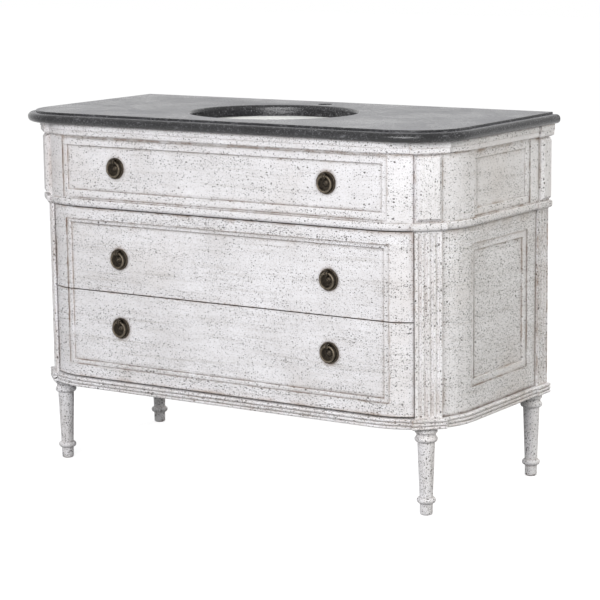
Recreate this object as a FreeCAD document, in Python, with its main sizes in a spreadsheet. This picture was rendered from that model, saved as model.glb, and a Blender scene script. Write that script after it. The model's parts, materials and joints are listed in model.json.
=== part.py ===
import FreeCAD, Part
import math
import os
import Sketcher

doc = FreeCAD.newDocument("vanity_unit")
sheet = doc.addObject("Spreadsheet::Sheet", "Sizes")
DIAG = math.sqrt(0.5)
UP = FreeCAD.Vector(0, 0, 1)
# Shares of the height from base to waist, and of the height of each drawer front
LOWER_FRONT_SHARE = 217 / 421
MID_PULL_SHARE = 82 / 204
LOW_PULL_SHARE = 132 / 217


class Size:
    """A length that carries its start value and the sheet formula behind it."""

    def __init__(self, value, text):
        self.value = value
        self.text = text

    def __add__(self, other):
        other = as_size(other)
        return Size(self.value + other.value, "(%s + %s)" % (self.text, other.text))

    def __sub__(self, other):
        other = as_size(other)
        return Size(self.value - other.value, "(%s - %s)" % (self.text, other.text))

    def __mul__(self, other):
        other = as_size(other)
        return Size(self.value * other.value, "(%s * %s)" % (self.text, other.text))

    def __truediv__(self, other):
        other = as_size(other)
        return Size(self.value / other.value, "(%s / %s)" % (self.text, other.text))

    def __neg__(self):
        return self * -1


def as_size(number):
    if isinstance(number, Size):
        return number
    return Size(float(number), "(%.8f)" % number)


def leg_of(slant, side):
    """The other short side of a right triangle."""
    inner = slant * slant - side * side
    return Size(math.sqrt(inner.value), "sqrt(%s)" % inner.text)


cell_count = 0


def size(name, number):
    global cell_count
    cell_count += 1
    sheet.set("A%d" % cell_count, str(number))
    sheet.setAlias("A%d" % cell_count, name)
    return Size(float(number), "Sizes." + name)


# Overall sizes of the stone top and of the body under it
top_width = size("top_width", 1220)
top_depth = size("top_depth", 560)
total_height = size("total_height", 870)
top_thick = size("top_thick", 26.5)
top_corner = size("top_corner", 147)
top_step = size("top_step", 5)
top_inset = size("top_inset", 20)
top_round = size("top_round", 10.4)
top_arris = size("top_arris", 1.5)
side_overhang = size("side_overhang", 33)
front_overhang = size("front_overhang", 37)
back_gap = size("back_gap", 4)
corner_radius = size("corner_radius", 157)

# Heights of the zones of the front
leg_height = size("leg_height", 202)
base_thick = size("base_thick", 23)
frieze_height = size("frieze_height", 169)
bead_height = size("bead_height", 18)
cornice_height = size("cornice_height", 28.5)

# Mouldings
base_reed = size("base_reed", 7)
base_groove = size("base_groove", 1.2)
base_reach = size("base_reach", 9.5)
base_groove_reach = size("base_groove_reach", 6.4)
reed_round = size("reed_round", 2.8)
bead_reach = size("bead_reach", 10.5)
bead_round = size("bead_round", 8)
bead_top_round = size("bead_top_round", 3.2)
cornice_reach = size("cornice_reach", 15.5)
cornice_low_reach = size("cornice_low_reach", 14)
cornice_neck_reach = size("cornice_neck_reach", 9)
cornice_neck = size("cornice_neck", 2)
cornice_reed = size("cornice_reed", 12)
cornice_rail = size("cornice_rail", 36)
cornice_round = size("cornice_round", 2.4)
cornice_top_round = size("cornice_top_round", 1.2)
frieze_step = size("frieze_step", 7)

# Posts, pilasters and boards
pilaster_half = size("pilaster_half", 31)
pilaster_proud = size("pilaster_proud", 5.5)
post_depth = size("post_depth", 34)
rear_post_wide = size("rear_post_wide", 51)
rear_post_thick = size("rear_post_thick", 60)
board_thick = size("board_thick", 20)
tablet_proud = size("tablet_proud", 10)
tablet_margin = size("tablet_margin", 2.5)
tablet_end = size("tablet_end", 4)
tablet_bevel = size("tablet_bevel", 6)
flute_radius = size("flute_radius", 4.2)
flute_pitch = size("flute_pitch", 13.5)
flute_sink = size("flute_sink", 0.6)
flute_end = size("flute_end", 5)
back_thick = size("back_thick", 12)
back_drop = size("back_drop", 6)
back_rail_high = size("back_rail_high", 50)
back_rail_thick = size("back_rail_thick", 26)

# Drawers, false front and their panels
front_setback = size("front_setback", 0.91)
end_gap = size("end_gap", 3)
front_thick = size("front_thick", 22)
front_gap = size("front_gap", 2.5)
floor_gap = size("floor_gap", 4)
panel_end = size("panel_end", 50)
panel_mould = size("panel_mould", 15)
drawer_mould = size("drawer_mould", 10.5)
frieze_mould = size("frieze_mould", 19)
panel_quirk = size("panel_quirk", 2.5)
panel_depth = size("panel_depth", 6.5)
cut_clear = size("cut_clear", 40)
mould_round = size("mould_round", 3.2)
frieze_panel_edge = size("frieze_panel_edge", 3.5)
panel_from_waist = size("panel_from_waist", 30.5)
panel_from_base = size("panel_from_base", 32.5)
side_panel_from_waist = size("side_panel_from_waist", 41)
side_panel_from_base = size("side_panel_from_base", 55)
side_panel_front = size("side_panel_front", 5)
side_panel_rear = size("side_panel_rear", 43)
side_mould = size("side_mould", 17)
rail_thick = size("rail_thick", 20)
rail_drop = size("rail_drop", 10)
rail_gap = size("rail_gap", 0.6)
box_side_gap = size("box_side_gap", 14)
box_wall = size("box_wall", 12)
box_back_gap = size("box_back_gap", 64)
box_rail_gap = size("box_rail_gap", 5)
box_floor = size("box_floor", 8)
box_floor_lift = size("box_floor_lift", 10)
box_back_drop = size("box_back_drop", 14)
notch_half = size("notch_half", 130)
notch_ahead = size("notch_ahead", 30)
run_gap = size("run_gap", 0.5)
guide_gap = size("guide_gap", 0.6)
guide_high = size("guide_high", 22)
guide_thick = size("guide_thick", 14)
ledge_thick = size("ledge_thick", 16)
ledge_bearing = size("ledge_bearing", 26)
ledge_gap = size("ledge_gap", 2)
low_box_lift = size("low_box_lift", 12)

# Turned legs
front_leg_out = size("front_leg_out", 138.5)
rear_leg_side = size("rear_leg_side", 26.5)
rear_leg_back = size("rear_leg_back", 29)
neck_radius = size("neck_radius", 25.5)
neck_high = size("neck_high", 11)
cove_radius = size("cove_radius", 22.5)
cove_high = size("cove_high", 10)
collar_radius = size("collar_radius", 26)
collar_high = size("collar_high", 12)
shaft_top_radius = size("shaft_top_radius", 19.6)
shaft_low_radius = size("shaft_low_radius", 15)
ankle_radius = size("ankle_radius", 21.3)
ankle_low = size("ankle_low", 27)
ankle_high = size("ankle_high", 14)
foot_radius = size("foot_radius", 14.6)
foot_round = size("foot_round", 5)
tenon_radius = size("tenon_radius", 12)
tenon_long = size("tenon_long", 15)
tenon_gap = size("tenon_gap", 0.1)

# Basin, tap hole and waste
bowl_stretch = size("bowl_stretch", 25)
bowl_front_margin = size("bowl_front_margin", 90)
bowl_back_margin = size("bowl_back_margin", 110)
bowl_reveal = size("bowl_reveal", 5)
bowl_deep = size("bowl_deep", 138)
bowl_wall = size("bowl_wall", 11)
flange_wide = size("flange_wide", 22)
flange_thick = size("flange_thick", 12)
rim_ease = size("rim_ease", 8)
tap_radius = size("tap_radius", 17.5)
tap_from_back = size("tap_from_back", 65)
waste_radius = size("waste_radius", 22.5)
seat_radius = size("seat_radius", 36)
seat_drop = size("seat_drop", 6)
overflow_radius = size("overflow_radius", 6)
overflow_drop = size("overflow_drop", 40)

# Ring pulls
pull_inset = size("pull_inset", 159)
pull_above_waist = size("pull_above_waist", 97)
plate_radius = size("plate_radius", 25)
plate_thick = size("plate_thick", 2)
plate_rim_wide = size("plate_rim_wide", 3.5)
boss_radius = size("boss_radius", 9)
boss_high = size("boss_high", 6.5)
nub_radius = size("nub_radius", 2.4)
nub_high = size("nub_high", 8.5)
ring_radius = size("ring_radius", 17.5)
ring_wire = size("ring_wire", 2.4)
pivot_out = size("pivot_out", 9)
pivot_up = size("pivot_up", 16)
lug_half = size("lug_half", 4)
lug_wall = size("lug_wall", 2)
eye_gap = size("eye_gap", 0.6)

# Places that several pieces share
body_half = top_width / 2 - side_overhang
body_front = front_overhang - top_depth / 2
body_back = top_depth / 2 - back_gap
corner_x = body_half - corner_radius
corner_y = body_front + corner_radius
rear_front = body_back - rear_post_wide


def on_corner(out, along):
    """Point beside the diagonal of the right front corner."""
    return corner_x + (out + along) * DIAG, corner_y + (along - out) * DIAG


front_half = on_corner(leg_of(corner_radius, pilaster_half), -pilaster_half)[0] - front_setback
post_x = front_half + end_gap
panel_half = front_half - panel_end
box_half = front_half - box_side_gap
box_back = body_back - box_back_gap
ledge_inner = box_half - ledge_bearing
rail_back = on_corner(corner_radius + pilaster_proud - post_depth, pilaster_half)[1]
ledge_outer = corner_x + leg_of(corner_radius - board_thick, corner_y - rail_back) - ledge_gap
slab_low = total_height - top_thick
cornice_low = slab_low - cornice_height
waist_level = cornice_low - frieze_height
frieze_low = waist_level + bead_height
base_top = leg_height + base_thick
split_level = base_top + (waist_level - base_top) * LOWER_FRONT_SHARE
back_top = waist_level - back_drop
bowl_half_wide = (top_depth - bowl_front_margin - bowl_back_margin) / 2
bowl_half_long = bowl_half_wide + bowl_stretch
bowl_y = (bowl_front_margin - bowl_back_margin) / 2
notch_front = bowl_y - notch_ahead
pull_x = panel_half - pull_inset
pull_top_level = waist_level + pull_above_waist
pull_mid_level = split_level + (waist_level - split_level) * MID_PULL_SHARE
pull_low_level = base_top + (split_level - base_top) * LOW_PULL_SHARE
nodes = {}


def bind(thing, prop, value):
    thing.setExpression(prop, as_size(value).text)


def place(thing, x, y, z):
    bind(thing, "Placement.Base.x", x)
    bind(thing, "Placement.Base.y", y)
    bind(thing, "Placement.Base.z", z)


def new_body(label):
    body = doc.addObject("PartDesign::Body", label)
    body.Label = label
    nodes[label] = body
    return body


def plane_of(body, role):
    for feature in body.Origin.OriginFeatures:
        if feature.Role == role:
            return feature


def new_sketch(body, role="XY_Plane", lift=None):
    sketch = body.newObject("Sketcher::SketchObject", body.Name + "_outline")
    sketch.AttachmentSupport = [(plane_of(body, role), "")]
    sketch.MapMode = "FlatFace"
    if lift is not None:
        bind(sketch, "AttachmentOffset.Base.z", lift)
    sketch.Visibility = False
    return sketch


def fix(sketch, kind, parts, value):
    index = sketch.addConstraint(Sketcher.Constraint(kind, *parts, value.value))
    sketch.setExpression("Constraints[%d]" % index, value.text)


def draw(sketch, points, arcs=None):
    """Closed outline; arcs gives centre and radius for the side that starts at a point."""
    arcs = arcs or {}
    points = [(as_size(x), as_size(y)) for x, y in points]
    first = sketch.GeometryCount
    ends = []
    for number, (x, y) in enumerate(points):
        next_x, next_y = points[(number + 1) % len(points)]
        start = FreeCAD.Vector(x.value, y.value, 0)
        finish = FreeCAD.Vector(next_x.value, next_y.value, 0)
        if number in arcs:
            centre = FreeCAD.Vector(as_size(arcs[number][0]).value, as_size(arcs[number][1]).value, 0)
            angle_a = math.atan2(start.y - centre.y, start.x - centre.x)
            angle_b = math.atan2(finish.y - centre.y, finish.x - centre.x)
            forward = (angle_b - angle_a) % (2 * math.pi) < math.pi
            if not forward:
                angle_a, angle_b = angle_b, angle_a
            circle = Part.Circle(centre, UP, as_size(arcs[number][2]).value)
            sketch.addGeometry(Part.ArcOfCircle(circle, angle_a, angle_b))
            ends.append((1, 2) if forward else (2, 1))
        else:
            sketch.addGeometry(Part.LineSegment(start, finish))
            ends.append((1, 2))
    for number, (x, y) in enumerate(points):
        follower = (number + 1) % len(points)
        sketch.addConstraint(Sketcher.Constraint(
            "Coincident", first + number, ends[number][1], first + follower, ends[follower][0]))
        fix(sketch, "DistanceX", (-1, 1, first + number, ends[number][0]), x)
        fix(sketch, "DistanceY", (-1, 1, first + number, ends[number][0]), y)
    for number, (_, _, radius) in arcs.items():
        fix(sketch, "Radius", (first + number,), as_size(radius))


def draw_circle(sketch, x, y, radius):
    x, y = as_size(x), as_size(y)
    centre = FreeCAD.Vector(x.value, y.value, 0)
    number = sketch.addGeometry(Part.Circle(centre, UP, radius.value))
    fix(sketch, "DistanceX", (-1, 1, number, 3), x)
    fix(sketch, "DistanceY", (-1, 1, number, 3), y)
    fix(sketch, "Radius", (number,), radius)


def pad(body, sketch, length):
    feature = body.newObject("PartDesign::Pad", body.Name + "_pad")
    feature.Profile = sketch
    bind(feature, "Length", length)
    body.Tip = feature
    return feature


def pocket(body, sketch, length):
    feature = body.newObject("PartDesign::Pocket", body.Name + "_pocket")
    feature.Profile = sketch
    bind(feature, "Length", length)
    body.Tip = feature
    return feature


def slice_of(body, low, high, points, arcs=None):
    """Pad an outline between two levels."""
    sketch = new_sketch(body, lift=low)
    draw(sketch, points, arcs)
    return pad(body, sketch, high - low)


def recess(body, low, high, points, arcs=None):
    """Cut an outline between two levels."""
    sketch = new_sketch(body, lift=high)
    draw(sketch, points, arcs)
    return pocket(body, sketch, high - low)


def middle(edge):
    return edge.valueAt((edge.FirstParameter + edge.LastParameter) / 2)


def level_of(edge):
    """Height of an edge that lies level, otherwise nothing."""
    heights = [vertex.Point.z for vertex in edge.Vertexes] + [middle(edge).z]
    if max(heights) - min(heights) > 0.01:
        return None
    return heights[0]


def dress(body, kind, test, amount):
    """Fillet or chamfer the edges of a body that pass a test."""
    doc.recompute()
    source = body.Tip
    names = ["Edge%d" % (i + 1) for i, edge in enumerate(source.Shape.Edges) if test(edge)]
    feature = body.newObject("PartDesign::" + kind, body.Name + "_" + kind.lower())
    feature.Base = (source, names)
    bind(feature, "Radius" if kind == "Fillet" else "Size", amount)
    body.Tip = feature
    return feature


def near(value, wanted):
    return value is not None and abs(value - wanted.value) < 0.02


def box(label, x0, x1, y0, y1, z0, z1):
    block = doc.addObject("Part::Box", label)
    block.Label = label
    bind(block, "Length", as_size(x1) - x0)
    bind(block, "Width", as_size(y1) - y0)
    bind(block, "Height", as_size(z1) - z0)
    place(block, x0, y0, z0)
    nodes[label] = block
    return block


def corner_run(sign, reach):
    """Moulded outline round a front corner to the back, for one hand."""
    half = pilaster_half + reach
    ring = corner_radius + reach
    out = ring + pilaster_proud
    start = on_corner(leg_of(ring, half), -half)
    face = [on_corner(out, -half), on_corner(out, half)]
    leave = on_corner(leg_of(ring, half), half)
    points = [(corner_x, body_front - reach), start] + face + [leave]
    points += [
        (body_half + reach, corner_y),
        (body_half + reach, rear_front - reach),
        (body_half + pilaster_proud + reach, rear_front - reach),
        (body_half + pilaster_proud + reach, body_back),
    ]
    return [(x * sign, y) for x, y in points]


def moulded_plan(reach):
    """Whole plan of the body with its four pilasters, from the left back corner round."""
    ring = corner_radius + reach
    left = list(reversed(corner_run(-1, reach)))
    right = corner_run(1, reach)
    arcs = {
        3: (-corner_x, corner_y, ring),
        7: (-corner_x, corner_y, ring),
        9: (corner_x, corner_y, ring),
        13: (corner_x, corner_y, ring),
    }
    return left + right, arcs


def reach_of(point):
    """How far a point lies outside the body outline with its pilasters."""
    x, y = abs(point.x), point.y
    across, ahead = x - corner_x.value, corner_y.value - y
    if across > 0 and ahead > 0:
        plain = math.hypot(across, ahead) - corner_radius.value
    else:
        plain = max(x - body_half.value, body_front.value - y)
    out, along = (across + ahead) * DIAG, (across - ahead) * DIAG
    front = max(out - corner_radius.value - pilaster_proud.value, abs(along) - pilaster_half.value)
    rear = max(x - body_half.value - pilaster_proud.value, rear_front.value - y)
    return min(plain, front, rear)


def on_rim(edge, level, reach):
    return near(level_of(edge), level) and abs(reach_of(middle(edge)) - reach.value) < 0.05


# Stone top: rounded plan, half-round edge, small step up to the flat
def slab_plan(inset):
    half = top_width / 2 - inset
    front = inset - top_depth / 2
    radius = top_corner - inset
    points = [
        (-half, top_depth / 2), (-half, front + radius), (radius - half, front),
        (half - radius, front), (half, front + radius), (half, top_depth / 2),
    ]
    arcs = {
        1: (radius - half, front + radius, radius),
        3: (half - radius, front + radius, radius),
    }
    return points, arcs


slab = new_body("stone_slab")
slab_mid = total_height - top_step
slice_of(slab, slab_low, slab_mid, *slab_plan(as_size(0)))
slice_of(slab, slab_mid, total_height, *slab_plan(top_inset))


def on_slab_rim(edge, inset):
    point = middle(edge)
    half = top_width.value / 2 - inset
    front = inset - top_depth.value / 2
    centre_x = top_width.value / 2 - top_corner.value
    centre_y = top_corner.value - top_depth.value / 2
    across, ahead = abs(point.x) - centre_x, centre_y - point.y
    if point.y > top_depth.value / 2 - 1 and abs(abs(point.x) - half) > 0.1:
        return False
    if across > 0 and ahead > 0:
        return abs(math.hypot(across, ahead) - top_corner.value + inset) < 0.1
    return abs(abs(point.x) - half) < 0.1 or abs(point.y - front) < 0.1


dress(slab, "Fillet",
      lambda e: level_of(e) is not None
      and level_of(e) < total_height.value - 1 and on_slab_rim(e, 0), top_round)
dress(slab, "Fillet",
      lambda e: near(level_of(e), total_height) and on_slab_rim(e, top_inset.value), top_arris)
holes = new_sketch(slab, lift=total_height)
draw_circle(holes, 0, top_depth / 2 - tap_from_back, tap_radius)
pocket(slab, holes, top_thick)
del nodes["stone_slab"]


def oval(name, half_long, half_wide, level):
    curve = doc.addObject("Part::Ellipse", name)
    bind(curve, "MajorRadius", half_long)
    bind(curve, "MinorRadius", half_wide)
    place(curve, 0, bowl_y, level)
    return curve


def oval_block(name, half_long, half_wide, level, height):
    block = doc.addObject("Part::Extrusion", name)
    block.Base = oval(name + "_line", half_long, half_wide, level)
    block.DirMode = "Custom"
    block.Dir = UP
    block.Solid = True
    bind(block, "LengthFwd", height)
    return block


def combine(kind, name, base, tool):
    result = doc.addObject("Part::" + kind, name)
    result.Base = base
    result.Tool = tool
    return result


sink_cut = oval_block("sink_cut", bowl_half_long, bowl_half_wide, slab_low, top_thick)
raw_top = combine("Cut", "top_with_sink", slab, sink_cut)
doc.recompute()
stone_top = doc.addObject("Part::Fillet", "stone_top")
stone_top.Base = raw_top
rim_edges = []
for number, edge in enumerate(raw_top.Shape.Edges):
    if near(level_of(edge), total_height) and abs(middle(edge).x) < bowl_half_long.value + 1:
        if math.hypot(middle(edge).x, middle(edge).y - bowl_y.value) < bowl_half_long.value + 1:
            rim_edges.append((number + 1, rim_ease.value, rim_ease.value))
stone_top.Edges = rim_edges
stone_top.Label = "stone_top"
nodes["stone_top"] = stone_top


# Basin: half ellipsoid bowl with a flange under the stone, waste seat and overflow
def half_bowl(name, half_long, half_wide, deep):
    bowl = doc.addObject("Part::Ellipsoid", name)
    bind(bowl, "Radius1", deep)
    bind(bowl, "Radius2", half_long)
    bind(bowl, "Radius3", half_wide)
    bowl.Angle1 = -90
    bowl.Angle2 = 0
    place(bowl, 0, bowl_y, slab_low)
    return bowl


def tube(name, radius, height, x, y, z):
    rod = doc.addObject("Part::Cylinder", name)
    bind(rod, "Radius", radius)
    bind(rod, "Height", height)
    place(rod, x, y, z)
    return rod


inner_long = bowl_half_long + bowl_reveal
inner_wide = bowl_half_wide + bowl_reveal
seat_low = slab_low - bowl_deep - bowl_wall - seat_drop
bowl_out = half_bowl("bowl_outside", inner_long + bowl_wall, inner_wide + bowl_wall, bowl_deep + bowl_wall)
bowl_in = half_bowl("bowl_inside", inner_long, inner_wide, bowl_deep)
flange = oval_block("flange", inner_long + flange_wide, inner_wide + flange_wide,
                    slab_low - flange_thick, flange_thick)
seat = tube("waste_seat", seat_radius, bowl_wall + seat_drop, 0, bowl_y, seat_low)
shell = combine("Fuse", "bowl_with_flange", bowl_out, flange)
shell = combine("Fuse", "bowl_with_seat", shell, seat)
shell = combine("Cut", "bowl_hollow", shell, bowl_in)
waste = tube("waste_cut", waste_radius, bowl_wall * 3 + seat_drop, 0, bowl_y, seat_low)
shell = combine("Cut", "bowl_with_waste", shell, waste)
overflow = tube("overflow_cut", overflow_radius, bowl_half_wide, 0, bowl_y - bowl_half_wide * 0.5,
                slab_low - overflow_drop)
overflow.Placement.Rotation = FreeCAD.Rotation(FreeCAD.Vector(1, 0, 0), 90)
basin = combine("Cut", "basin", shell, overflow)
basin.Label = "basin"
nodes["basin"] = basin


# Base board: two reeds and a band on its edge, with grooves between them
board = new_body("base_board")
low_groove = leg_height + base_reed
mid_reed = low_groove + base_groove
high_groove = mid_reed + base_reed
band_low = high_groove + base_groove
slice_of(board, leg_height, base_top, *moulded_plan(base_groove_reach))
for low, high in ((leg_height, low_groove), (mid_reed, high_groove), (band_low, base_top)):
    slice_of(board, low, high, *moulded_plan(base_reach))
    for level in (low, high):
        dress(board, "Fillet", lambda e: on_rim(e, level, base_reach), reed_round)
leg_places = {}
for hand, sign in (("left", -1), ("right", 1)):
    x, y = on_corner(front_leg_out, as_size(0))
    leg_places["front_leg_" + hand] = (x * sign, y)
    rear_x = body_half + pilaster_proud - rear_leg_side
    leg_places["rear_leg_" + hand] = (rear_x * sign, body_back - rear_leg_back)
sockets = new_sketch(board, lift=leg_height + tenon_long + tenon_gap)
for x, y in leg_places.values():
    draw_circle(sockets, x, y, tenon_radius + tenon_gap)
pocket(board, sockets, tenon_long + tenon_gap)

# Turned legs with a tenon into the base board
for label, (x, y) in leg_places.items():
    leg = new_body(label)
    turned = new_sketch(leg, "XZ_Plane")
    cove_top = leg_height - neck_high
    cove_low = cove_top - cove_high
    shaft_top = cove_low - collar_high
    ankle_top = ankle_low + ankle_high
    profile = [
        (as_size(0), as_size(0)),
        (foot_radius - foot_round, as_size(0)),
        (foot_radius, foot_round),
        (foot_radius, ankle_low),
        (foot_radius + 1, ankle_low),
        (shaft_low_radius + 1, ankle_top),
        (shaft_low_radius, ankle_top),
        (shaft_top_radius, shaft_top),
        (shaft_top_radius + 2, shaft_top),
        (cove_radius, cove_low),
        (neck_radius, cove_top),
        (neck_radius, leg_height),
        (tenon_radius, leg_height),
        (tenon_radius, leg_height + tenon_long),
        (as_size(0), leg_height + tenon_long),
    ]
    half_ankle = ankle_high / 2
    ankle_bulge = ankle_radius - foot_radius - 1
    ankle_curve = (half_ankle * half_ankle + ankle_bulge * ankle_bulge) / (ankle_bulge * 2)
    half_collar = collar_high / 2
    collar_bulge = collar_radius - (shaft_top_radius + 2 + cove_radius) / 2
    collar_curve = (half_collar * half_collar + collar_bulge * collar_bulge) / (collar_bulge * 2)
    cove_curve = cove_high * 0.75
    swells = {
        1: (foot_radius - foot_round, foot_round, foot_round),
        4: (ankle_radius - ankle_curve, ankle_low + half_ankle, ankle_curve),
        8: (collar_radius - collar_curve, shaft_top + half_collar, collar_curve),
        9: (cove_radius + cove_curve, cove_low + cove_high * 0.3, cove_curve),
    }
    draw(turned, profile, swells)
    lathe = leg.newObject("PartDesign::Revolution", leg.Name + "_turning")
    lathe.Profile = turned
    lathe.ReferenceAxis = (turned, ["V_Axis"])
    lathe.Angle = 360
    leg.Tip = lathe
    place(leg, x, y, 0)


# Fluted pilaster face and raised tablet of a post
def flute_face(body, x, y, turn):
    """Four round-ended flutes, patterned across a face whose first flute starts at x, y."""
    sketch = new_sketch(body)
    sketch.AttachmentOffset = FreeCAD.Placement(FreeCAD.Vector(), turn)
    bind(sketch, "AttachmentOffset.Base.x", x)
    bind(sketch, "AttachmentOffset.Base.y", y)
    bind(sketch, "AttachmentOffset.Base.z", base_top + flute_end)
    long = waist_level - base_top - flute_end * 2
    points = [
        (as_size(0), as_size(0)), (flute_radius, flute_radius),
        (flute_radius, long - flute_radius), (as_size(0), long),
    ]
    draw(sketch, points, {0: (0, flute_radius, flute_radius), 2: (0, long - flute_radius, flute_radius)})
    groove = body.newObject("PartDesign::Groove", body.Name + "_flute")
    groove.Profile = sketch
    groove.ReferenceAxis = (sketch, ["V_Axis"])
    groove.Angle = 360
    body.Tip = groove
    row = body.newObject("PartDesign::LinearPattern", body.Name + "_flutes")
    row.Originals = [groove]
    row.Direction = (sketch, ["H_Axis"])
    bind(row, "Length", flute_pitch * 3)
    row.Occurrences = 4
    body.Tip = row


def tablet(body, points, normal):
    """Raised tablet with bevelled edges on the frieze part of a post."""
    low, high = frieze_low + tablet_end, cornice_low - tablet_end
    slice_of(body, low, high, points)
    face_at = max(normal.dot(FreeCAD.Vector(x.value, y.value, 0)) for x, y in points)
    dress(body, "Chamfer",
          lambda e: abs(normal.dot(middle(e)) - face_at) < 0.02 and e.Vertexes[0].Point.z > low.value - 1,
          tablet_bevel)


for hand, sign in (("left", -1), ("right", 1)):
    post = new_body("front_post_" + hand)
    inner = on_corner(corner_radius + pilaster_proud - post_depth, pilaster_half)
    for low, high, out in (
            (base_top, frieze_low, corner_radius + pilaster_proud),
            (frieze_low, cornice_low, corner_radius + frieze_step)):
        near_x, near_y = on_corner(out, -pilaster_half)
        points = [
            (post_x, near_y + near_x - post_x), (near_x, near_y), on_corner(out, pilaster_half),
            inner, (post_x, inner[1]),
        ]
        slice_of(post, low, high, [(px * sign, py) for px, py in points])
    edge = pilaster_half - tablet_margin
    base_out = corner_radius + frieze_step
    raised = [
        on_corner(base_out - 1, -edge), on_corner(base_out + tablet_proud, -edge),
        on_corner(base_out + tablet_proud, edge), on_corner(base_out - 1, edge),
    ]
    tablet(post, [(px * sign, py) for px, py in raised], FreeCAD.Vector(sign * DIAG, -DIAG, 0))
    x, y = on_corner(corner_radius + pilaster_proud + flute_sink, flute_pitch * (-1.5 * sign))
    across = FreeCAD.Vector(DIAG, DIAG * sign, 0)
    facing = FreeCAD.Vector(sign * DIAG, -DIAG, 0)
    turn = FreeCAD.Rotation(across, UP, facing, "ZXY")
    flute_face(post, x * sign, y, turn)

    rear = new_body("rear_post_" + hand)
    inner_x = body_half + pilaster_proud - rear_post_thick
    for low, high, outer_x in (
            (base_top, frieze_low, body_half + pilaster_proud),
            (frieze_low, cornice_low, body_half + frieze_step)):
        points = [(inner_x, rear_front), (outer_x, rear_front), (outer_x, body_back), (inner_x, body_back)]
        slice_of(rear, low, high, [(px * sign, py) for px, py in points])
    outer_x = body_half + frieze_step
    raised = [
        (outer_x - 1, rear_front + tablet_margin), (outer_x + tablet_proud, rear_front + tablet_margin),
        (outer_x + tablet_proud, body_back - tablet_margin), (outer_x - 1, body_back - tablet_margin),
    ]
    tablet(rear, [(px * sign, py) for px, py in raised], FreeCAD.Vector(sign, 0, 0))
    centre_y = (rear_front + body_back) / 2
    turn = FreeCAD.Rotation(FreeCAD.Vector(0, sign, 0), UP, FreeCAD.Vector(sign, 0, 0), "ZXY")
    flute_face(rear, (body_half + pilaster_proud + flute_sink) * sign,
               centre_y - flute_pitch * (1.5 * sign), turn)

    # Side board: curved front part, flat rear part, two sunk panels
    side = new_body("side_board_" + hand)
    inside = corner_radius - board_thick
    for low, high, reach in ((base_top, frieze_low, as_size(0)), (frieze_low, cornice_low, frieze_step)):
        ring = corner_radius + reach
        points = [
            on_corner(leg_of(ring, pilaster_half), pilaster_half),
            (body_half + reach, corner_y), (body_half + reach, rear_front),
            (body_half - board_thick, rear_front), (body_half - board_thick, corner_y),
            on_corner(leg_of(inside, pilaster_half), pilaster_half),
        ]
        arcs = {0: (corner_x * sign, corner_y, ring), 4: (corner_x * sign, corner_y, inside)}
        slice_of(side, low, high, [(px * sign, py) for px, py in points], arcs)
    panels = (
        (base_top + side_panel_from_base, waist_level - side_panel_from_waist, as_size(0)),
        (frieze_low + frieze_panel_edge, cornice_low - frieze_panel_edge, frieze_step),
    )
    panel_front = corner_y + side_panel_front
    panel_rear = rear_front - side_panel_rear
    for low, high, reach in panels:
        for inset, depth in ((as_size(0), panel_quirk), (side_mould, panel_depth)):
            floor_x = body_half + reach - depth
            clear_x = body_half + reach + cut_clear
            points = [
                (floor_x, panel_front + inset), (clear_x, panel_front + inset),
                (clear_x, panel_rear - inset), (floor_x, panel_rear - inset),
            ]
            recess(side, low + inset, high - inset, [(px * sign, py) for px, py in points])
        quirk_x = (body_half + reach - panel_quirk).value
        dress(side, "Fillet",
              lambda e: abs(abs(middle(e).x) - quirk_x) < 0.02
              and low.value + 1 < middle(e).z < high.value - 1
              and panel_front.value + 1 < middle(e).y < panel_rear.value - 1, mould_round)

    # Waist bead round the post, along the side and round the rear post
    bead = new_body("waist_bead_" + hand)
    outer = corner_run(1, bead_reach)[2:]
    inner = corner_run(1, as_size(0))[2:]
    start_y = outer[0][1] + outer[0][0] - post_x
    inner_y = inner[0][1] + inner[0][0] - post_x
    points = [(post_x, inner_y), (post_x, start_y)] + outer + list(reversed(inner))
    points = [(px * sign, py) for px, py in points]
    arcs = {
        4: (corner_x * sign, corner_y, corner_radius + bead_reach),
        12: (corner_x * sign, corner_y, corner_radius),
    }
    slice_of(bead, waist_level, frieze_low, points, arcs)
    dress(bead, "Fillet", lambda e: on_rim(e, waist_level, bead_reach), bead_round)
    dress(bead, "Fillet", lambda e: on_rim(e, frieze_low, bead_reach), bead_top_round)

# Cornice: a front length with both corner breaks and two side lengths
cornice_layers = (
    (cornice_low, cornice_low + cornice_neck, cornice_neck_reach),
    (cornice_low + cornice_neck, cornice_low + cornice_neck + cornice_reed, cornice_low_reach),
    (cornice_low + cornice_neck + cornice_reed, slab_low, cornice_reach),
)
cornice_inside = corner_radius + cornice_reach - cornice_rail
cut_half = pilaster_half + cornice_reach
cut_in = on_corner(leg_of(cornice_inside, cut_half), cut_half)


def cornice_cut(ring):
    """Where the cut between the front and side lengths meets a ring of the corner."""
    return on_corner(leg_of(ring, cut_half), cut_half)


def round_cornice(body):
    """Rounds the lower edges of the two upper layers."""
    dress(body, "Fillet", lambda e: on_rim(e, cornice_low + cornice_neck, cornice_low_reach), cornice_round)
    dress(body, "Fillet",
          lambda e: on_rim(e, cornice_low + cornice_neck + cornice_reed, cornice_reach), cornice_top_round)


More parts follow.
